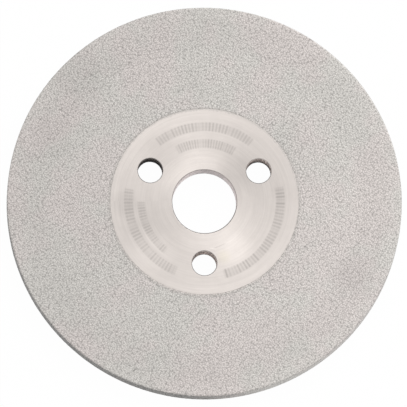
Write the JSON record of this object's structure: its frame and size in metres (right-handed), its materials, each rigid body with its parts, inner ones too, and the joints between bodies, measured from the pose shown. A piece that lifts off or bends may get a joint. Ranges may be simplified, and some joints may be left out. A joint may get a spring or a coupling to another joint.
{
  "type": "grinding wheel",
  "caption": "Flat round grinding wheel: a steel disc with a central bore, bolt holes and a bare flange land, plated with abrasive grit over its face and rim.",
  "frame": {"origin": "centre of the bore on the flat back face", "axes": "+Z along the bore's axis, out of the plated face; -Y towards one bolt hole; +X to the right as the plated face is looked at with that hole at the bottom"},
  "size_m": [0.1016, 0.1016, 0.0056],
  "materials": {
    "ground_steel": "fine concentric turning marks, satin, with faint stains",
    "plated_grit": "one layer of grit in plated metal, matt and sparkling"
  },
  "bodies": {
    "root": {"steel_disc": "ground_steel", "diamond_plating": "plated_grit"}
  },
  "joints": []
}
